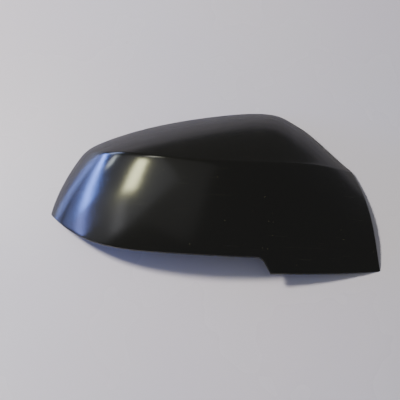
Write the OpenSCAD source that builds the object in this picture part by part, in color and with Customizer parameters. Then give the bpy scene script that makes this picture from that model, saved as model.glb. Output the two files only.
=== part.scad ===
/* [Cover] */
// Length from the outboard end to the inboard corner
cover_length = 236; // [190:1:300]
// Height from the lower edge of the extension to the top rim
cover_height = 123; // [98:1:160]
// Depth from the rim plane to the crest of the crease
cover_depth = 57; // [44:1:76]
// Wall thickness of the moulding
wall = 2.5; // [1.8:0.1:3.5]
// Reach of the rolled edge on each side of the crease
crease_roll = 2.4; // [1:0.1:4]
// How far the outboard end swells past a straight line
end_swell = 9; // [5:0.5:13]

/* [Trimmed edges] */
// Depth of the step between the long lower edge and the extension
step_drop = 10; // [6:0.5:14]
// Sideways run of the slanted side of the step
step_run = 6.5; // [2:0.5:10]
// Radius of the inner corner of the step
step_radius = 4; // [2:0.5:7]

/* [Snap towers] */
// Width of a snap tower
tower_width = 14; // [11:0.5:18]
// Thickness of a snap tower's plate
tower_plate = 2.2; // [1.6:0.1:3]
// Corner chamfer at a snap tower's foot
tower_chamfer = 2; // [1:0.25:3]
// Width of the catch window in a tower
window_width = 8; // [5:0.5:9]
// Height of the catch window in a tower
window_height = 5; // [3:0.5:7]
// Material left below the catch window
window_bar = 3; // [2:0.25:4.5]
// Height of the feet of the towers along the rim above the rim plane
rim_foot = 3; // [2:0.5:6]
// Height of the feet of the towers behind the lower edge above the rim plane
edge_foot = 12; // [8:0.5:15]
// Depth of the gussets behind a tower
gusset_depth = 7; // [4:0.5:10]
// Thickness of a gusset
gusset_plate = 1.5; // [1:0.1:2.2]

/* [Locating pegs] */
// Diameter of a locating peg
peg_diameter = 5; // [3.5:0.25:7]
// Height of a peg's tip above the rim plane
peg_foot = 6; // [3:0.5:9]
// Free round length of a peg below its fins
peg_free = 9; // [6:0.5:12]
// Diameter of the thinner core between the fins
peg_core = 3.6; // [2:0.2:5]
// Chamfer at a peg's tip
peg_chamfer = 0.8; // [0.4:0.1:1.2]
// Reach of the fins from a peg's axis
fin_reach = 6; // [4.5:0.5:8]
// Thickness of a fin
fin_plate = 1.4; // [1:0.1:2]

/* [Stiffening ribs] */
// Thickness of a stiffening rib
rib_plate = 1.3; // [0.9:0.1:2]
// Height of a stiffening rib below the inner skin
rib_height = 4.5; // [2.5:0.5:7]

/* [Hidden] */

// Share at the middle of a face
middle = 0.5;

// Facets along and across the two skins, and along a trimmed edge
outer_stations = 54;
inner_stations = 34;
lower_steps = 16;
roll_steps = 4;
top_steps = 14;
edge_steps = 20;
corner_steps = 8;
fine = 48;

// Length and height at which the styling curves were drawn
drawn_length = 236;
drawn_height = 123;
drawn_depth = 57;
length_k = cover_length / drawn_length;
height_k = cover_height / drawn_height;
depth_k = cover_depth / drawn_depth;

// The skin runs on below the rim plane, where it is trimmed off
base_drop = 6;
skirt_drop = 12;
overrun = 30;

// Rails of the skin in plan, from the outboard to the inboard end, as Bezier control points.
// The lower rail lies outside the trimmed lower edge, and the top rail is the root of the top rim.
lower_rail = [[-120.2, -52.7], [-51.6, -81.7], [16.8, -77.7], [85.3, -84.7], [153.8, -53.7]];
crease_rail = [[-99.2, 25.3], [-47, 9.3], [5.3, -3.2], [57.6, 20.3], [109.8, 14.3]];
top_rail = [[-92.7, 34.8], [-64.2, 40.3], [-30.7, 68.8], [37.3, 52.3], [65.8, 78.8], [35.3, 60.8], [105.3, 18.8]];

// Crease seen from below the cover: share of the length and share of the rise, steep at the outboard end
crease_profile = [[0, 0], [0, 0.736], [0.26, 1.31], [0.34, 1], [0.72, 1.024], [1, 0]];
crest = max([for (i = [0:outer_stations]) station(i / outer_stations)[1]]);
rise = (cover_depth + base_drop) / crest;

// Section of the lower face from its rail to the crease: share of the way and share of the rise
lower_section = [[0, 0], [0, 0.37], [0.69, 0.957], [1, 1]];
// Section of the top face from the crease to the rim, fuller at the outboard end
top_lead = 0.185;
top_lead_loss = 0.19;
top_start = 0.943;
top_shoulder = [0.978, 0.616];
// The outboard end's swell dies out along the cover
swell_power = 6;

// Trimmed edges in plan: long lower edge, lower edge of the extension, inboard edge
lower_edge = [[-118.7, -14.7], [-88.2, -53.6], [-49.2, -45.8], [-11.4, -52.3], [28.4, -51.6]];
inboard_corner = [118, -57.4];
extension_bow = 2;
inboard_edge = [inboard_corner, [113.7, -34.1], [114.3, -11.4], [103, 10.7]];

// Ellipsoid whose normals give the direction in which the wall is measured
wall_centre = [14 * length_k, -14 * height_k, -base_drop];
wall_axes = [150 * length_k, 90 * height_k, 55 * depth_k];

// Snap towers in plan, with the turn of each: its gussets point away from the rim
rim_towers = [[-97, 2, 72], [-47, 38, 18], [4, 47, 10], [50, 43, -8], [77, 17, -48], [84, -27, -99]];
edge_towers = [[-42, -36, 176], [16, -39, 180]];
// Locating pegs in plan
pegs = [[-62, -8], [66, -22]];

// Stiffening ribs: places of the cross ribs along the cover, and the stretch of each face they cross
cross_ribs = [0.3, 0.43, 0.56, 0.7];
rib_from = 0.58;
rib_to = 0.42;
rib_points = 6;
crease_rib_from = 0.16;
crease_rib_to = 0.86;
crease_rib_points = 16;

function bezier(p, t) =
    len(p) == 1 ? p[0] : bezier([for (i = [0:len(p) - 2]) p[i] * (1 - t) + p[i + 1] * t], t);
function plan(p) = [p[0] * length_k, p[1] * height_k];
function mix(a, b, s) = a * (1 - s) + b * s;

// Parabola that is 0 at both ends and 1 in the middle
function hump(s) = 4 * s * (1 - s);

// Place along the cover and share of the rise at station u, which runs from 0 to 1
function station(u) = bezier(crease_profile, u);

// Point of the lower face at share v of the way from its rail to the crease
function lower_point(q, v) =
    let (s = bezier(lower_section, v))
    let (p = mix(plan(bezier(lower_rail, q[0])), plan(bezier(crease_rail, q[0])), s[0]))
    let (swell = end_swell * hump(s[0]) * pow(1 - q[0], swell_power))
    [p[0] - swell, p[1], rise * q[1] * s[1] - base_drop];

// Point of the top face at share v of the way from the crease to the rim
function top_point(q, v) =
    let (s = bezier([[0, 1], [top_lead - top_lead_loss * q[0], top_start], top_shoulder, [1, 0]], v))
    let (p = mix(plan(bezier(crease_rail, q[0])), plan(bezier(top_rail, q[0])), s[0]))
    [p[0], p[1], rise * q[1] * s[1] - base_drop];

// Share of a face that a length of it beside the crease takes up
function share(reach, face_end, crease) = reach / (reach + norm(face_end - crease));

// Section of the skin at station u: lower face, rolled crease and top face
function section(u) =
    let (q = station(u))
    let (crease = top_point(q, 0))
    let (back = 1 - share(crease_roll, lower_point(q, middle), crease) * middle)
    let (on = share(crease_roll, top_point(q, middle), crease) * middle)
    let (roll = [lower_point(q, back), crease, top_point(q, on)])
    [for (i = [0:lower_steps - 1]) lower_point(q, back * i / lower_steps),
     for (i = [0:roll_steps]) bezier(roll, i / roll_steps),
     for (i = [1:top_steps]) top_point(q, mix(on, 1, i / top_steps))];

// Point moved in through the wall by t
function inward(p, t) =
    let (d = p - wall_centre)
    let (n = [for (i = [0:2]) d[i] / pow(wall_axes[i], 2)])
    p - n / norm(n) * t;

// Solid under the skin, drawn in by a distance and closed below the rim plane
module dome(inset, stations) {
    ring = lower_steps + roll_steps + top_steps + 1;
    function at(i, j) = i * ring + j;
    grid = [for (i = [0:stations]) for (p = section(i / stations)) inset > 0 ? inward(p, inset) : p];
    border = [for (i = [0:stations]) at(i, 0),
              for (j = [1:ring - 1]) at(stations, j),
              for (i = [1:stations]) at(stations - i, ring - 1),
              for (j = [1:ring - 2]) at(0, ring - 1 - j)];
    first = len(grid);
    count = len(border);
    skirt = [for (k = border) [grid[k][0], grid[k][1], -base_drop - skirt_drop]];
    faces = [for (i = [0:stations - 1]) for (j = [0:ring - 2])
                 each [[at(i, j), at(i, j + 1), at(i + 1, j + 1)], [at(i, j), at(i + 1, j + 1), at(i + 1, j)]],
             for (k = [0:count - 1]) let (n = (k + 1) % count)
                 each [[border[k], border[n], first + n], [border[k], first + n, first + k],
                       [first + k, first + n, first + count]]];
    polyhedron([each grid, each skirt, [0, 0, -base_drop - skirt_drop]], faces);
}

// Plan outline to which the skin is trimmed, open wide where the rim plane trims it
module trim_outline() {
    function past(a, b) = b + (b - a) / norm(b - a) * overrun;
    edge = [for (i = [0:edge_steps]) plan(bezier(lower_edge, i / edge_steps))];
    step_top = edge[edge_steps] + [step_radius, 0];
    step_foot = step_top + [step_run, -step_drop];
    slope = (step_foot - step_top) / norm(step_foot - step_top);
    corner = [edge[edge_steps], step_top, step_top + slope * step_radius];
    far = plan(inboard_corner);
    bow = [(step_foot[0] + far[0]) / 2, min(step_foot[1], far[1] - extension_bow)];
    side = [for (i = [0:edge_steps]) plan(bezier(inboard_edge, i / edge_steps))];
    polygon([past(edge[1], edge[0]),
             each edge,
             for (i = [1:corner_steps]) bezier(corner, i / corner_steps),
             for (i = [0:edge_steps - 1]) bezier([step_foot, bow, far], i / edge_steps),
             each side,
             past(side[edge_steps - 1], side[edge_steps]),
             [far[0], cover_height],
             [edge[0][0] - overrun, cover_height]]);
}

// Snap tower hanging from the skin, with a catch window near its foot and two gussets behind
module snap_tower(foot) {
    half = tower_width / 2;
    top = rise;
    window_foot = foot + window_bar;
    gusset_foot = window_foot + window_height + window_bar;
    translate([0, tower_plate / 2, 0])
        rotate([90, 0, 0])
            linear_extrude(tower_plate)
                difference() {
                    polygon([[-half, foot + tower_chamfer], [-half + tower_chamfer, foot],
                             [half - tower_chamfer, foot], [half, foot + tower_chamfer],
                             [half, top], [-half, top]]);
                    translate([-window_width / 2, window_foot])
                        square([window_width, window_height]);
                }
    for (side = [-1, 1])
        translate([side * (half - gusset_plate / 2) + gusset_plate / 2, 0, 0])
            rotate([90, 0, -90])
                linear_extrude(gusset_plate)
                    polygon([[0, gusset_foot], [gusset_depth, gusset_foot + gusset_depth],
                             [gusset_depth, top], [0, top]]);
}

// Locating peg with a chamfered tip and four fins up to the skin
module locating_peg() {
    radius = peg_diameter / 2;
    translate([0, 0, peg_foot])
        cylinder(h = peg_chamfer, r1 = radius - peg_chamfer, r2 = radius, $fn = fine);
    translate([0, 0, peg_foot + peg_chamfer])
        cylinder(h = peg_free - peg_chamfer, r = radius, $fn = fine);
    translate([0, 0, peg_foot + peg_free])
        cylinder(h = rise, r = min(peg_core / 2, radius), $fn = fine);
    for (turn = [0, 90])
        rotate(turn)
            translate([-fin_reach, -fin_plate / 2, peg_foot + peg_free])
                cube([2 * fin_reach, fin_plate, rise]);
}

// Rib that follows the inner skin along a path, rooted in the wall
module skin_rib(path) {
    last = len(path) - 1;
    function heading(i) =
        let (d = path[min(i + 1, last)] - path[max(i - 1, 0)])
        [-d[1], d[0], 0] / norm([d[0], d[1]]) * rib_plate / 2;
    points = [for (i = [0:last]) let (h = heading(i)) let (low = [0, 0, -rib_height]) let (root = [0, 0, wall / 2])
                 each [path[i] + h + low, path[i] - h + low, path[i] - h + root, path[i] + h + root]];
    faces = [[3, 2, 1, 0],
             for (i = [0:last - 1]) for (k = [0:3]) let (n = (k + 1) % 4)
                 each [[4 * i + k, 4 * i + 4 + n, 4 * i + 4 + k], [4 * i + k, 4 * i + n, 4 * i + 4 + n]],
             [for (k = [0:3]) 4 * last + k]];
    polyhedron(points, faces);
}

module cross_rib(place) {
    q = station(place);
    skin_rib([for (i = [0:rib_points]) inward(lower_point(q, mix(rib_from, 1, i / rib_points)), wall),
              for (i = [1:rib_points]) inward(top_point(q, rib_to * i / rib_points), wall)]);
}

module crease_rib() {
    skin_rib([for (i = [0:crease_rib_points])
                  inward(top_point(station(mix(crease_rib_from, crease_rib_to, i / crease_rib_points)), 0), wall)]);
}

// One moulding: a thin skin with the towers, pegs and ribs of its inner side
module mirror_cover() {
    color([0.09, 0.09, 0.1])
        difference() {
            intersection() {
                dome(0, outer_stations);
                linear_extrude(rise)
                    trim_outline();
            }
            difference() {
                dome(wall, inner_stations);
                for (t = rim_towers)
                    translate(plan(t))
                        rotate(t[2])
                            snap_tower(rim_foot);
                for (t = edge_towers)
                    translate(plan(t))
                        rotate(t[2])
                            snap_tower(edge_foot);
                for (p = pegs)
                    translate(plan(p))
                        locating_peg();
                for (place = cross_ribs)
                    cross_rib(place);
                crease_rib();
            }
        }
}

mirror_cover();
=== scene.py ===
import math

import bmesh
import bpy
import numpy as np
from mathutils import Matrix, Vector


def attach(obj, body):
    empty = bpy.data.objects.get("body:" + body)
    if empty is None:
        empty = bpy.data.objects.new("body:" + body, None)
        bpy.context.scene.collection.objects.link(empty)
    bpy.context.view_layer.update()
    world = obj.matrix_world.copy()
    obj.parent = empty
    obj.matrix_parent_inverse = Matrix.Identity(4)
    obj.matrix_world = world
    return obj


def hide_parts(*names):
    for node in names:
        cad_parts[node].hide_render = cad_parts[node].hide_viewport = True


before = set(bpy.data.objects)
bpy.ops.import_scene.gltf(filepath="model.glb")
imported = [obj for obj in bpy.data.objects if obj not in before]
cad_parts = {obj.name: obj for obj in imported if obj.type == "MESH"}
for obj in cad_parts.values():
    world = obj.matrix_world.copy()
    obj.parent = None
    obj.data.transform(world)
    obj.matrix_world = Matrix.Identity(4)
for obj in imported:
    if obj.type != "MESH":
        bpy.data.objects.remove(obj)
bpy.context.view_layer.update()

MM = 0.001


# The camera
# A lens of medium length looks down on the cover from its lower edge, 15 degrees off the vertical.
# Its distance and its aim lay the outline of the cover over the outline in the photograph.
camera_tilt = math.radians(15)
camera_distance = 640 * MM
camera_aim = (-10.2 * MM, -4.7 * MM, 0)
camera_data = bpy.data.cameras.new("camera")
camera_data.lens = 79.2
camera_data.sensor_width = 36
camera = bpy.data.objects.new("camera", camera_data)
camera.location = (camera_aim[0],
                   camera_aim[1] - camera_distance * math.sin(camera_tilt),
                   camera_distance * math.cos(camera_tilt))
camera.rotation_euler = (camera_tilt, 0, 0)
bpy.context.scene.collection.objects.link(camera)
bpy.context.scene.camera = camera


# The table
# A pale table top with a slight gloss and faint smears, which only stages the cover. It is far larger
# than the view, so that the cover can mirror it, and its colour carries painted light: a little lighter
# towards the camera.
table_size = 6.0
# From the front of the view to its back: the places along Y, and how much painted light lightens the
# table's colour there
table_depths = (-0.16, 0.1)
table_painted_light = (1.07, 0.985)
# The ranges over which the noise varies each colour and the roughness
table_red = (0.633, 0.663)
table_green = (0.633, 0.653)
table_blue = (0.687, 0.667)
table_roughness = (0.24, 0.3)
noise_span = (0.3, 0.7)


class Socket:
    """An output of a material's node, with arithmetic that adds Math nodes."""

    def __init__(self, tree, link):
        self.tree = tree
        self.link = link

    def math(self, operation, *values):
        return node(self.tree, "ShaderNodeMath", {"operation": operation}, dict(enumerate(values)))

    def __add__(self, other):
        return self.math("ADD", self, other)

    def __sub__(self, other):
        return self.math("SUBTRACT", self, other)

    def __rsub__(self, other):
        return self.math("SUBTRACT", other, self)

    def __mul__(self, other):
        return self.math("MULTIPLY", self, other)

    __radd__ = __add__
    __rmul__ = __mul__

    def ramp(self, low, high, to_low=0.0, to_high=1.0):
        """Carries low to to_low and high to to_high in a straight line, and stops at the ends."""
        return node(self.tree, "ShaderNodeMapRange", {"clamp": True},
                    {"Value": self, "From Min": low, "From Max": high, "To Min": to_low, "To Max": to_high})


def node(tree, kind, settings, inputs, output=0):
    """Adds a node: its settings first, then a value or a link for each socket, by name or by number.

    Gives the socket of one output back, if the node has any.
    """
    made = tree.nodes.new(kind)
    for name, value in settings.items():
        setattr(made, name, value)
    for name, value in inputs.items():
        if isinstance(value, Socket):
            tree.links.new(value.link, made.inputs[name])
        else:
            made.inputs[name].default_value = value
    return Socket(tree, made.outputs[output]) if made.outputs else None


def new_material(name):
    """An empty material, its node tree, and its Object coordinates."""
    material = bpy.data.materials.new(name)
    material.use_nodes = True
    tree = material.node_tree
    tree.nodes.clear()
    place = node(tree, "ShaderNodeTexCoord", {}, {}, "Object")
    return material, tree, place


def finish_material(tree, shader):
    """Links the shader to the material's output."""
    node(tree, "ShaderNodeOutputMaterial", {}, {"Surface": shader})


bpy.ops.object.select_all(action="DESELECT")
bpy.ops.mesh.primitive_plane_add(size=table_size, location=(0, 0, 0))
table = bpy.context.active_object
table.name = "table"
table_material, tree, place = new_material("table top")
smears = node(tree, "ShaderNodeTexNoise", {}, {"Vector": place, "Scale": 9.0, "Detail": 3.0})
tint = node(tree, "ShaderNodeTexNoise", {}, {"Vector": place, "Scale": 5.0, "Detail": 1.0})
depth_in_view = node(tree, "ShaderNodeSeparateXYZ", {}, {"Vector": place}, "Y")
# Painted light: the table's colour is lighter towards the camera and darker away from it, a painted
# fall-off of the light over the table
painted_light = depth_in_view.ramp(*table_depths, *table_painted_light)
red = tint.ramp(*noise_span, *table_red) * painted_light
green = smears.ramp(*noise_span, *table_green) * painted_light
blue = tint.ramp(*noise_span, *table_blue) * painted_light
colour = node(tree, "ShaderNodeCombineColor", {}, {"Red": red, "Green": green, "Blue": blue})
rough = smears.ramp(*noise_span, *table_roughness)
shader = node(tree, "ShaderNodeBsdfPrincipled", {}, {"Base Color": colour, "Roughness": rough})
finish_material(tree, shader)
table.data.materials.append(table_material)


# The lights
# A soft key light and a low bluish window light, both from the left, and an even grey room round them.
# The other panels light nothing and are only mirrored: the windows, a warm lamp, the roof light, and the
# paler parts of the room and of its ceiling.
light_distance = 1.7
light_centre = Vector((-75, 5, 30)) * MM
room_colour = (0.225, 0.225, 0.245, 1)


def toward(azimuth, elevation):
    """The unit vector towards a place round the cover, in degrees from +X and above the table."""
    a, e = math.radians(azimuth), math.radians(elevation)
    return Vector((math.cos(a) * math.cos(e), math.sin(a) * math.cos(e), math.sin(e)))


world = bpy.data.worlds.new("room")
world.use_nodes = True
world.node_tree.nodes["Background"].inputs["Color"].default_value = room_colour
world.node_tree.nodes["Background"].inputs["Strength"].default_value = 1.0
bpy.context.scene.world = world


def panel(name, start, end, breadth, radiance, distance=light_distance, fade=180,
          lights=True, mirrored=True):
    """A flat light that faces the cover, from one direction to another and some degrees broad.

    Seen from the cover it fades out from its middle to half the angle of its fade.
    """
    ends = [toward(*place) * distance for place in (start, end)]
    strength = max(radiance)
    data = bpy.data.lights.new(name, "AREA")
    data.shape = "RECTANGLE"
    data.size = (ends[1] - ends[0]).length
    data.size_y = 2 * distance * math.tan(math.radians(breadth / 2))
    data.color = [c / strength for c in radiance]
    data.energy = strength * math.pi * data.size * data.size_y
    data.spread = math.radians(fade)
    light = bpy.data.objects.new(name, data)
    middle = (ends[0] + ends[1]) / 2
    back = middle.normalized()
    along = (ends[1] - ends[0]).normalized()
    light.location = light_centre + middle
    light.rotation_euler = Matrix((along, back.cross(along), back)).transposed().to_euler()
    light.visible_diffuse = lights
    light.visible_glossy = mirrored
    bpy.context.scene.collection.objects.link(light)


panel("key", (145, 50), (159, 50), 10, (190, 176, 168), distance=0.95, mirrored=False)
panel("window light", (151, 5), (-171, 18), 8, (2, 4, 20), mirrored=False)
panel("window", (149, 5), (-171, 19.2), 2.9, (18, 31, 104), lights=False)
panel("far window", (-171, 18.5), (-150, 19), 2.4, (10, 13, 38), lights=False)
panel("below the window", (146, 1), (-165, 11), 9, (1.1, 1.3, 2.8), lights=False)
panel("upper window", (130, 18), (152, 14), 8, (8, 10, 16), lights=False)
panel("roof light", (158, 24.5), (169, 22.5), 3.5, (21, 23, 23), lights=False)
panel("lamp", (176, 60), (-148, 44), 10, (38, 38, 22), lights=False)
panel("ceiling", (118, 68), (150, 62), 8, (12, 12, 10), lights=False)
panel("beside the lamp", (-147, 39), (-130, 29), 6, (1.6, 1.6, 1.7), lights=False)
panel("room", (160, 38), (-121, 42), 60, (0.24, 0.245, 0.27), fade=96, lights=False)
panel("ceiling above", (-112, 36), (40, 78), 36, (0.1, 0.1, 0.1), fade=120, lights=False)


# The skin
# The cover is one injection moulding in glossy black plastic. Its skin is two faces lofted between
# curved rails, which meet in a rolled crease, and it is trimmed by the rim plane, the long lower edge
# with its step, and the inboard edge.
lower_rail = [(-120.2, -52.7), (-51.6, -81.7), (16.8, -77.7), (85.3, -84.7), (153.8, -53.7)]
crease_rail = [(-99.2, 25.3), (-47, 9.3), (5.3, -3.2), (57.6, 20.3), (109.8, 14.3)]
top_rail = [(-92.7, 34.8), (-64.2, 40.3), (-30.7, 68.8), (37.3, 52.3), (65.8, 78.8), (35.3, 60.8),
            (105.3, 18.8)]
crease_profile = [(0, 0), (0, 0.736), (0.26, 1.31), (0.34, 1), (0.72, 1.024), (1, 0)]
lower_section = [(0, 0), (0, 0.37), (0.69, 0.957), (1, 1)]
top_lead = 0.185
top_lead_loss = 0.19
top_start = 0.943
top_shoulder = (0.978, 0.616)
top_shoulder_lift = 0.13
top_fuller_from = 0.6
top_fuller_run = 0.3
# Each swell beside the rim: its size, and the shares of the length where it starts and ends
rim_swells = [(1.8, 0.765, 0.975), (-1.7, 0.93, 1.04)]
rim_swell_way = (0.655, 0.756)
end_swell = 9
swell_power = 6
profile_samples = 55
cover_depth = 57
base_drop = 6
crease_roll = 2.4
wall = 2.5
wall_centre = (14, -14, -6)
wall_axes = (150, 90, 55)
# Places across the skin: 0 to 1 on the lower face, 1 to 2 on the rolled crease, 2 to 3 on the top face
roll_start = 1.0
roll_end = 2.0
top_end = 3.0


def bezier(points, t):
    """Points of a Bezier curve at the shares t."""
    t = np.asarray(t, float)[..., None]
    row = [np.asarray(p, float) for p in points]
    while len(row) > 1:
        row = [a * (1 - t) + b * t for a, b in zip(row, row[1:])]
    return row[0]


crest = bezier(crease_profile, np.linspace(0, 1, profile_samples))[:, 1].max()
rise = (cover_depth + base_drop) / crest


def lower_face(station, v):
    """Points of the outer face below the crease."""
    share = bezier(lower_section, v)
    along, lift = station[..., 0], station[..., 1]
    p = bezier(lower_rail, along) * (1 - share[..., :1]) + bezier(crease_rail, along) * share[..., :1]
    swell = end_swell * 4 * share[..., 0] * (1 - share[..., 0]) * (1 - along) ** swell_power
    return np.stack([p[..., 0] - swell, p[..., 1], rise * lift * share[..., 1] - base_drop], -1)


def top_face(station, v):
    """Points of the outer face above the crease, which is fuller up to the rim at the inboard end."""
    along, lift = station[..., 0], station[..., 1]
    lead = np.stack([top_lead - top_lead_loss * along, np.full(along.shape, top_start)], -1)
    fuller = np.clip((along - top_fuller_from) / top_fuller_run, 0, 1)
    height = top_shoulder[1] + top_shoulder_lift * fuller
    shoulder = np.stack([np.full(along.shape, top_shoulder[0]), height], -1)
    share = bezier([np.array((0, 1.0)), lead, shoulder, np.array((1.0, 0))], v)
    p = bezier(crease_rail, along) * (1 - share[..., :1]) + bezier(top_rail, along) * share[..., :1]
    swell = share[..., 0] * sum(size * np.sin(np.clip((along - start) / (end - start), 0, 1) * np.pi) ** 2
                                for size, start, end in rim_swells)
    p = p + swell[..., None] * np.array(rim_swell_way)
    return np.stack([p[..., 0], p[..., 1], rise * lift * share[..., 1] - base_drop], -1)


def inward(p, depth):
    """The points moved in through the wall by a depth."""
    way = (p - np.array(wall_centre)) / np.array(wall_axes, float) ** 2
    return p - way / np.linalg.norm(way, axis=-1, keepdims=True) * depth


def skin(u, w, depth=0.0):
    """Points of the skin at station u and place w across it, moved in through the wall by a depth."""
    u, w = np.broadcast_arrays(np.asarray(u, float), np.asarray(w, float))
    station = bezier(crease_profile, u)
    middle = np.full(u.shape, 0.5)
    crease = top_face(station, np.zeros(u.shape))
    lower_reach = np.linalg.norm(lower_face(station, middle) - crease, axis=-1)
    top_reach = np.linalg.norm(top_face(station, middle) - crease, axis=-1)
    back = 1 - crease_roll / (crease_roll + lower_reach) / 2
    on = crease_roll / (crease_roll + top_reach) / 2
    below = lower_face(station, back * np.clip(w, 0, 1))
    above = top_face(station, on + (1 - on) * np.clip(w - roll_end, 0, 1))
    roll = bezier([lower_face(station, back), crease, top_face(station, on)], np.clip(w - roll_start, 0, 1))
    p = np.where((w < roll_start)[..., None], below, np.where((w > roll_end)[..., None], above, roll))
    return inward(p, depth)


# The trimmed edges in plan: the long lower edge, the step with its rounded corner, the lower edge of
# the extension, and the inboard edge, each run on past its end
long_samples = np.linspace(0, 1, 61)
short_samples = np.linspace(0, 1, 41)
corner_samples = np.linspace(0, 1, 13)
lower_edge = bezier([(-118.7, -14.7), (-88.2, -53.6), (-49.2, -45.8), (-11.4, -52.3), (28.4, -51.6)],
                    long_samples)
inboard_corner = np.array((118, -57.4))
step_drop = 10
step_run = 6.5
step_radius = 4
extension_bow = 2
overrun = 40
step_top = lower_edge[-1] + (step_radius, 0)
step_foot = step_top + (step_run, -step_drop)
step_slope = (step_foot - step_top) / np.linalg.norm(step_foot - step_top)
step_corner = bezier([lower_edge[-1], step_top, step_top + step_slope * step_radius], corner_samples)
bow = ((step_foot[0] + inboard_corner[0]) / 2, min(step_foot[1], inboard_corner[1] - extension_bow))
extension_edge = bezier([step_foot, bow, inboard_corner], short_samples)
inboard_edge = bezier([(118, -57.4), (113.7, -34.1), (114.3, -11.4), (103, 10.7)], short_samples)
halvings = 40


def run_on(line):
    """The line with a straight run added at each end."""
    first = line[0] + (line[0] - line[1]) / np.linalg.norm(line[0] - line[1]) * overrun
    last = line[-1] + (line[-1] - line[-2]) / np.linalg.norm(line[-1] - line[-2]) * overrun
    return np.concatenate([[first], line, [last]])


low_line = run_on(np.concatenate([lower_edge, step_corner[1:], extension_edge]))
side_line = run_on(inboard_edge)


def above_low_line(p):
    """How far the points lie above the lower edge, in plan."""
    return p[..., 1] - np.interp(p[..., 0], low_line[:, 0], low_line[:, 1])


def inside_side_line(p):
    """How far the points lie inside the inboard edge, in plan."""
    return np.interp(p[..., 1], side_line[:, 1], side_line[:, 0]) - p[..., 0]


def crossing(test, outside, inside):
    """Where test turns from negative at outside to positive at inside, by halving."""
    outside, inside = (np.array(a, float) for a in np.broadcast_arrays(outside, inside))
    for _ in range(halvings):
        half = (outside + inside) / 2
        negative = test(half) < 0
        outside = np.where(negative, half, outside)
        inside = np.where(negative, inside, half)
    return inside


# Columns of the grid between the corners of the outline, and rows across the two faces and the roll
columns = (150, 10, 10, 90)
lower_rows = 46
roll_rows = 8
top_rows = 38
edge_round = 0.25
skin_inset = 0.06
end_inset = 0.0018
close = 0.01
left_end = 2.55
left_inside = 0.3
right_inside = 0.6
side_margin = 0.02
side_samples = 297
edge_samples = 1601
nudge = 0.001
# Points closer together than this are welded, and edges shorter than this are dissolved
weld = 0.02
sliver = 0.005


def trimmed_grid(depth):
    """A grid of points on the skin whose border runs along the trimmed edges."""
    across = np.linspace(side_margin, top_end - side_margin, side_samples)
    left = crossing(lambda u: skin(u, across, depth)[..., 2], np.zeros(across.shape), left_inside)
    right = crossing(lambda u: inside_side_line(skin(u, across, depth)), np.ones(across.shape),
                     right_inside)
    tip = np.interp(0, above_low_line(skin(left, across, depth)), across)

    def column(s, w):
        """Points at the share s of the way from the left edge to the right, and place w across."""
        start = np.interp(np.clip(w, tip, left_end), across, left)
        return skin(start * (1 - s) + np.interp(w, across, right) * s, w, depth)

    def bottom(s):
        return crossing(lambda w: np.minimum(above_low_line(column(s, w)), column(s, w)[..., 2] + close),
                        np.zeros(s.shape), roll_start)

    def rim(s):
        return crossing(lambda w: column(s, w)[..., 2] + close, np.full(s.shape, top_end), roll_end)

    # Columns at even spacing along the edges, with one at each corner of the outline
    s = np.linspace(0, 1, edge_samples)
    low, high = column(s, bottom(s)), column(s, rim(s))
    lines = (low, high, column(s, np.full(s.shape, roll_start)))
    step = sum(np.linalg.norm(np.diff(line, axis=0), axis=-1) for line in lines)
    travel = np.concatenate([[0], np.cumsum(step)])
    stops = [0, *np.interp([lower_edge[-1][0], step_corner[-1][0], step_foot[0]], low[:, 0], s), 1]
    lengths = np.interp(stops, s, travel)
    evenly = [np.linspace(a, b, n, endpoint=False) for a, b, n in zip(lengths, lengths[1:], columns)]
    s = np.interp(np.concatenate([*evenly, [travel[-1]]]), travel, s)
    s[1] = end_inset
    s[-2] = 1 - end_inset

    # Rows at even shares, with one beside each edge for its rounding
    first, last = bottom(s), rim(s)
    speed_low = np.linalg.norm(column(s, first + nudge) - column(s, first), axis=-1) / nudge
    speed_high = np.linalg.norm(column(s, last - nudge) - column(s, last), axis=-1) / nudge
    second = first + edge_round / speed_low
    last_but_one = np.maximum(last - edge_round / np.maximum(speed_high, close), roll_end)
    rows = [first]
    rows += [second * (1 - k) + roll_start * k for k in np.arange(lower_rows) / lower_rows]
    rows += [np.full(s.shape, roll_start + k) for k in np.arange(roll_rows) / roll_rows]
    rows += [roll_end * (1 - k) + last_but_one * k for k in np.linspace(0, 1, top_rows)]
    rows += [last]
    grid = np.stack([column(s, np.minimum(w, last)) for w in rows], 1)
    grid[..., 2] = np.maximum(grid[..., 2], 0)
    return grid


def grid_faces(width, height, first=0, inset=0, flip=False):
    """Quads of a grid stored column by column, without the cells outside the inset."""
    faces = []
    for i in range(inset, width - 1 - inset):
        for j in range(inset, height - 1 - inset):
            a = first + i * height + j
            quad = (a, a + height, a + height + 1, a + 1)
            faces.append(quad[::-1] if flip else quad)
    return faces


outside = trimmed_grid(skin_inset)
inside = trimmed_grid(wall)
width, height = outside.shape[:2]
border = [(i, 0) for i in range(width)]
border += [(width - 1, j) for j in range(1, height)]
border += [(i, height - 1) for i in range(width - 2, -1, -1)]
border += [(0, j) for j in range(height - 2, 0, -1)]
edge = np.array([outside[i, j] for i, j in border])
beside = np.array([outside[min(max(i, 1), width - 2), min(max(j, 1), height - 2)] for i, j in border])
inner_edge = np.array([inside[i, j] for i, j in border])

# The cut face runs straight down to the height of the inner edge, or lies in the rim plane
foot = edge.copy()
foot[:, 2] = np.minimum(edge[:, 2], inner_edge[:, 2])
upright = (edge[:, 2] - foot[:, 2] > 2 * edge_round)[:, None]
way = np.where(upright, foot - edge, inner_edge - edge)
reach = np.linalg.norm(way, axis=-1, keepdims=True)
round_end = edge + way / np.maximum(reach, close) * np.minimum(edge_round, reach / 2)
foot = np.where(upright, foot, round_end)
strips = [bezier([beside, edge, round_end], np.full(len(border), k)) for k in (0, 1 / 3, 2 / 3, 1)]
strips += [foot, inner_edge]

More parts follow.
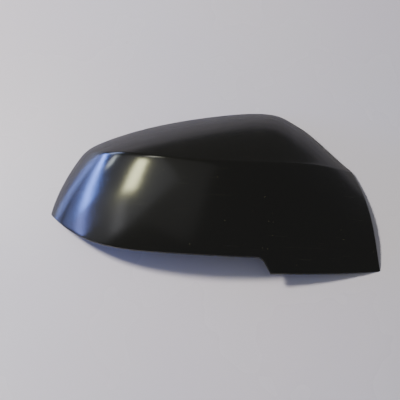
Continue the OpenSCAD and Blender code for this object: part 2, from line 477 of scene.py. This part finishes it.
points = np.concatenate([outside.reshape(-1, 3), inside.reshape(-1, 3), *strips]) * MM
faces = grid_faces(width, height, inset=1)
inner_faces = grid_faces(width, height, first=width * height, flip=True)
strip_start = 2 * width * height
count = len(border)
strip_faces = []
for row in range(len(strips) - 1):
    for k in range(count):
        n = (k + 1) % count
        a = strip_start + row * count
        strip_faces.append((a + n, a + k, a + count + k, a + count + n))
cover_mesh = bpy.data.meshes.new("cover")
cover_mesh.from_pydata(points.tolist(), [], faces + strip_faces + inner_faces)
cover = bpy.data.objects.new("cover", cover_mesh)
bpy.context.scene.collection.objects.link(cover)
slots = np.concatenate([np.zeros(len(faces) + len(strip_faces), int), np.ones(len(inner_faces), int)])
cover_mesh.polygons.foreach_set("material_index", slots)
mesh = bmesh.new()
mesh.from_mesh(cover_mesh)
bmesh.ops.remove_doubles(mesh, verts=mesh.verts, dist=weld * MM)
bmesh.ops.dissolve_degenerate(mesh, edges=mesh.edges, dist=sliver * MM)
mesh.to_mesh(cover_mesh)
mesh.free()

# Moulded gloss: a faint orange peel, hairline scratches and a little dust
# Two sets of strokes: how they are turned, and the noise above which one shows
scratch_sets = ((24, 0.735), (-41, 0.75))
scratch_edge = 0.03
dust_rim = 0.05
dust_core = 0.03
dust_clouds = (0.52, 0.6)
plastic_tone = 0.004
dust_tone = 0.16
scratch_tone = 0.004
blue_share = 0.5
gloss_roughness = (0.145, 0.195)
scratch_roughness = 0.1
dust_roughness = 0.3
scratch_depth = 0.15
peel_height = 0.012
gloss, tree, place = new_material("glossy black plastic")
peel = node(tree, "ShaderNodeTexNoise", {}, {"Vector": place, "Scale": 260.0, "Detail": 1.0})
haze = node(tree, "ShaderNodeTexNoise", {}, {"Vector": place, "Scale": 32.0, "Detail": 4.0})
scratches = 0
for turn, limit in scratch_sets:
    drawn = node(tree, "ShaderNodeMapping", {}, {"Vector": place, "Rotation": (0, 0, math.radians(turn)),
                                                 "Scale": (28.0, 1500.0, 28.0)})
    strokes = node(tree, "ShaderNodeTexNoise", {}, {"Vector": drawn, "Scale": 1.0, "Detail": 1.0})
    scratches = strokes.ramp(limit, limit + scratch_edge) + scratches
grains = node(tree, "ShaderNodeTexVoronoi", {}, {"Vector": place, "Scale": 190.0})
clouds = node(tree, "ShaderNodeTexNoise", {}, {"Vector": place, "Scale": 90.0, "Detail": 2.0})
dust = grains.ramp(dust_rim, dust_core) * clouds.ramp(*dust_clouds)
tone = dust.ramp(0, 1, plastic_tone, dust_tone) + scratches * scratch_tone
colour = node(tree, "ShaderNodeCombineColor", {}, {"Red": tone, "Green": tone, "Blue": tone * blue_share})
rough = haze.ramp(*noise_span, *gloss_roughness) + scratches * scratch_roughness + dust * dust_roughness
bump = node(tree, "ShaderNodeBump", {}, {"Height": peel - scratches * scratch_depth, "Strength": 1.0,
                                         "Distance": peel_height * MM})
shader = node(tree, "ShaderNodeBsdfPrincipled", {}, {"Base Color": colour, "Roughness": rough,
                                                     "Normal": bump})

# A film of haze over the gloss, which dims the mirror image where it is seen along the surface
film_colour = (0.012, 0.012, 0.013, 1)
# From straight on, 0, to along the surface, 1: where the film begins and where it is at its most
film_turns = (0.45, 0.84)
film_share = 0.85
film = node(tree, "ShaderNodeBsdfPrincipled", {}, {"Base Color": film_colour, "Roughness": 0.6,
                                                   "Specular IOR Level": 0.2})
turned = node(tree, "ShaderNodeLayerWeight", {}, {"Blend": 0.5}, "Facing")
covering = turned.ramp(*film_turns, 0, film_share)
shader = node(tree, "ShaderNodeMixShader", {}, {0: covering, 1: shader, 2: film})
finish_material(tree, shader)

# Spark-eroded satin on the inner side
satin_tone = (0.0105, 0.0145)
satin_roughness = (0.46, 0.56)
satin_height = 0.03
satin, tree, place = new_material("satin black plastic")
grain = node(tree, "ShaderNodeTexNoise", {}, {"Vector": place, "Scale": 2200.0, "Detail": 2.0})
flow = node(tree, "ShaderNodeTexNoise", {}, {"Vector": place, "Scale": 45.0, "Detail": 3.0})
tone = flow.ramp(*noise_span, *satin_tone)
colour = node(tree, "ShaderNodeCombineColor", {}, {"Red": tone, "Green": tone, "Blue": tone})
bump = node(tree, "ShaderNodeBump", {}, {"Height": grain, "Strength": 1.0, "Distance": satin_height * MM})
rough = flow.ramp(*noise_span, *satin_roughness)
shader = node(tree, "ShaderNodeBsdfPrincipled", {}, {"Base Color": colour, "Roughness": rough,
                                                     "Normal": bump})
finish_material(tree, shader)
cover_mesh.materials.append(gloss)
cover_mesh.materials.append(satin)

# The core
# The middle of the wall as a closed solid. What hangs from the inner side is cut to it, so that every
# root ends inside the moulding. It is deleted once the towers and the pegs are cut.
core_depth = 1.25
core_columns = 90
u, w = np.meshgrid(np.linspace(0, 1, core_columns), np.linspace(0, top_end, core_columns), indexing="ij")
core_points = skin(u, w, core_depth)
loop = [(i, 0) for i in range(core_columns)]
loop += [(core_columns - 1, j) for j in range(1, core_columns)]
loop += [(i, core_columns - 1) for i in range(core_columns - 2, -1, -1)]
loop += [(0, j) for j in range(core_columns - 2, 0, -1)]
core_floor = -18
skirt = [(*core_points[i, j, :2], core_floor) for i, j in loop]
first = core_columns ** 2
last = first + len(loop)
core_faces = grid_faces(core_columns, core_columns)
for k, (i, j) in enumerate(loop):
    n = (k + 1) % len(loop)
    a, b = i * core_columns + j, loop[n][0] * core_columns + loop[n][1]
    core_faces += [(b, a, first + k, first + n), (first + n, first + k, last)]
core_mesh = bpy.data.meshes.new("core")
core_points = np.array([*core_points.reshape(-1, 3), *skirt, (0, 0, core_floor)]) * MM
core_mesh.from_pydata(core_points.tolist(), [], core_faces)
core = bpy.data.objects.new("core", core_mesh)
bpy.context.scene.collection.objects.link(core)
mesh = bmesh.new()
mesh.from_mesh(core_mesh)
bmesh.ops.triangulate(mesh, faces=mesh.faces)
mesh.to_mesh(core_mesh)
mesh.free()


def block(low, high):
    """A box between two corners, in millimetres."""
    bpy.ops.object.select_all(action="DESELECT")
    bpy.ops.mesh.primitive_cube_add(size=1, location=[(a + b) / 2 * MM for a, b in zip(low, high)])
    made = bpy.context.active_object
    made.scale = [(b - a) * MM for a, b in zip(low, high)]
    bpy.ops.object.transform_apply(location=True, rotation=True, scale=True)
    return made


def combine(target, tool, operation, keep=False):
    """Joins the tool to the target, or cuts with it, and deletes the tool unless it is kept."""
    modifier = target.modifiers.new(operation.lower(), "BOOLEAN")
    modifier.operation = operation
    modifier.object = tool
    modifier.solver = "EXACT"
    bpy.context.view_layer.objects.active = target
    bpy.ops.object.modifier_apply(modifier=modifier.name)
    if not keep:
        bpy.data.objects.remove(tool, do_unlink=True)


def soften(target, radius, angle=30):
    """Rounds the edges that are sharper than the angle."""
    modifier = target.modifiers.new("soft edges", "BEVEL")
    modifier.width = radius * MM
    modifier.segments = 2
    modifier.limit_method = "ANGLE"
    modifier.angle_limit = math.radians(angle)
    bpy.context.view_layer.objects.active = target
    bpy.ops.object.modifier_apply(modifier=modifier.name)


def placed(pattern, x, y, turn):
    """A copy of the pattern at a place in plan, turned by some degrees."""
    made = pattern.copy()
    made.data = pattern.data.copy()
    made.location = (x * MM, y * MM, 0)
    made.rotation_euler = (0, 0, math.radians(turn))
    bpy.context.scene.collection.objects.link(made)
    return made


# The snap towers
# Eight plates of the same moulding hang from the skin, six behind the rim and two behind the lower
# edge. Each has a catch window near its foot, chamfered corners and two gussets on its back.
tower_width = 14
tower_plate = 2.2
tower_chamfer = 2
window_width = 8
window_height = 5
window_bar = 3
rim_foot = 3
edge_foot = 12
gusset_depth = 7
gusset_plate = 1.5
tower_round = 0.25
tower_top = 60
# Each tower's place in plan and its turn in degrees
rim_towers = [(-97, 2, 72), (-47, 38, 18), (4, 47, 10), (50, 43, -8), (77, 17, -48), (84, -27, -99)]
edge_towers = [(-42, -36, 176), (16, -39, 180)]


def snap_tower(foot):
    """A tower with its foot at a height over the rim plane, so tall that it reaches through the skin."""
    half = tower_width / 2
    tower = block((-half, -tower_plate / 2, foot), (half, tower_plate / 2, tower_top))
    for side in (-1, 1):
        corner = block((-tower_chamfer, -tower_plate, -tower_chamfer),
                       (tower_chamfer, tower_plate, tower_chamfer))
        corner.scale = (math.sqrt(0.5), 1, math.sqrt(0.5))
        corner.rotation_euler = (0, math.radians(45), 0)
        corner.location = (side * half * MM, 0, foot * MM)
        combine(tower, corner, "DIFFERENCE")
    window_foot = foot + window_bar
    combine(tower, block((-window_width / 2, -tower_plate, window_foot),
                         (window_width / 2, tower_plate, window_foot + window_height)), "DIFFERENCE")
    gusset_foot = window_foot + window_height + window_bar
    for side in (-1, 1):
        x = side * (half - gusset_plate / 2)
        gusset = block((x - gusset_plate / 2, -gusset_depth, gusset_foot),
                       (x + gusset_plate / 2, 0, tower_top))
        for vertex in gusset.data.vertices:
            if vertex.co.y < -gusset_depth * MM / 2 and vertex.co.z < tower_top * MM / 2:
                vertex.co.z += gusset_depth * MM
        combine(tower, gusset, "UNION")
    soften(tower, tower_round)
    return tower


hung = []
for foot, places in ((rim_foot, rim_towers), (edge_foot, edge_towers)):
    tower = snap_tower(foot)
    hung += [placed(tower, *place) for place in places]
    bpy.data.objects.remove(tower, do_unlink=True)

# The locating pegs
# Two round pegs with a chamfered tip guide the cover onto the housing. Above their free length they
# run on as a thinner core with four fins up to the skin.
peg_radius = 2.5
peg_foot = 6
peg_free = 9
peg_core_radius = 1.8
peg_chamfer = 0.8
fin_reach = 6
fin_plate = 1.4
peg_overlap = 0.1
peg_sides = 48
coinciding = 0.001
pegs = [(-62, -8), (66, -22)]
bpy.ops.object.select_all(action="DESELECT")
bpy.ops.mesh.primitive_cylinder_add(vertices=peg_sides, radius=peg_radius * MM, depth=peg_free * MM,
                                    location=(0, 0, (peg_foot + peg_free / 2) * MM))
peg = bpy.context.active_object
bpy.ops.object.transform_apply(location=True, rotation=True, scale=True)
soften(peg, peg_chamfer)
fin_foot = peg_foot + peg_free - peg_overlap
bpy.ops.object.select_all(action="DESELECT")
bpy.ops.mesh.primitive_cylinder_add(vertices=peg_sides, radius=peg_core_radius * MM,
                                    depth=(tower_top - fin_foot) * MM,
                                    location=(0, 0, (tower_top + fin_foot) / 2 * MM))
combine(peg, bpy.context.active_object, "UNION")
for reach_x, reach_y in ((fin_reach, fin_plate / 2), (fin_plate / 2, fin_reach)):
    fin = block((-reach_x, -reach_y, fin_foot + peg_overlap), (reach_x, reach_y, tower_top))
    combine(peg, fin, "UNION")
hung += [placed(peg, x, y, 0) for x, y in pegs]
bpy.data.objects.remove(peg, do_unlink=True)

# Every tower and peg ends in the middle of the wall, and its points that coincide are welded
for made in hung:
    combine(made, core, "INTERSECT", keep=True)
    mesh = bmesh.new()
    mesh.from_mesh(made.data)
    bmesh.ops.remove_doubles(mesh, verts=mesh.verts, dist=coinciding * MM)
    mesh.to_mesh(made.data)
    mesh.free()
bpy.data.objects.remove(core, do_unlink=True)

# The stiffening ribs
# Low ribs of the same moulding run across the inside at four places, over the crease from face to face,
# and one rib runs along the crease.
rib_plate = 1.3
rib_height = 4.5
rib_round = 0.3
cross_ribs = (0.3, 0.43, 0.56, 0.7)
rib_from = 0.58
rib_to = 0.42
crease_rib_from = 0.16
crease_rib_to = 0.86
rib_samples = 19
crease_rib_samples = 61
smooth_angle = 40


def skin_rib(path):
    """A rib along a path on the inner skin, with its root inside the wall and a rounded free edge."""
    ahead = np.gradient(path, axis=0)
    side = np.stack([-ahead[:, 1], ahead[:, 0], np.zeros(len(path))], -1)
    side /= np.linalg.norm(side, axis=-1, keepdims=True)
    half, low, root = rib_plate / 2, -rib_height, wall / 2
    third = rib_round / 3
    outline = [(-half, root), (-half, low + rib_round), (-half + third, low + third),
               (-half + rib_round, low), (half - rib_round, low), (half - third, low + third),
               (half, low + rib_round), (half, root)]
    points = [p + s * across + np.array((0, 0, up)) for p, s in zip(path, side) for across, up in outline]
    n = len(outline)
    faces = [(n * i + k, n * i + (k + 1) % n, n * i + n + (k + 1) % n, n * i + n + k)
             for i in range(len(path) - 1) for k in range(n)]
    faces += [list(range(n))[::-1], [n * (len(path) - 1) + k for k in range(n)]]
    rib_mesh = bpy.data.meshes.new("rib")
    rib_mesh.from_pydata((np.array(points) * MM).tolist(), [], faces)
    rib = bpy.data.objects.new("rib", rib_mesh)
    bpy.context.scene.collection.objects.link(rib)
    mesh = bmesh.new()
    mesh.from_mesh(rib_mesh)
    bmesh.ops.recalc_face_normals(mesh, faces=mesh.faces)
    mesh.to_mesh(rib_mesh)
    mesh.free()
    return rib


ribs = []
for place_along in cross_ribs:
    station = bezier(crease_profile, np.full(rib_samples, place_along))
    up = lower_face(station, np.linspace(rib_from, 1, rib_samples))
    down = top_face(station, np.linspace(0, rib_to, rib_samples))
    ribs.append(skin_rib(inward(np.concatenate([up, down[1:]]), wall)))
station = bezier(crease_profile, np.linspace(crease_rib_from, crease_rib_to, crease_rib_samples))
ribs.append(skin_rib(inward(top_face(station, np.zeros(crease_rib_samples)), wall)))

# The cover takes what hangs from it, so that it stays one moulding
for made in [*hung, *ribs]:
    made.data.materials.clear()
    made.data.materials.append(satin)
bpy.ops.object.select_all(action="DESELECT")
for made in [*hung, *ribs, cover]:
    made.select_set(True)
bpy.context.view_layer.objects.active = cover
bpy.ops.object.join()
bpy.ops.object.shade_smooth_by_angle(angle=math.radians(smooth_angle))
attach(cover, "root")
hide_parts("mirror_cover")
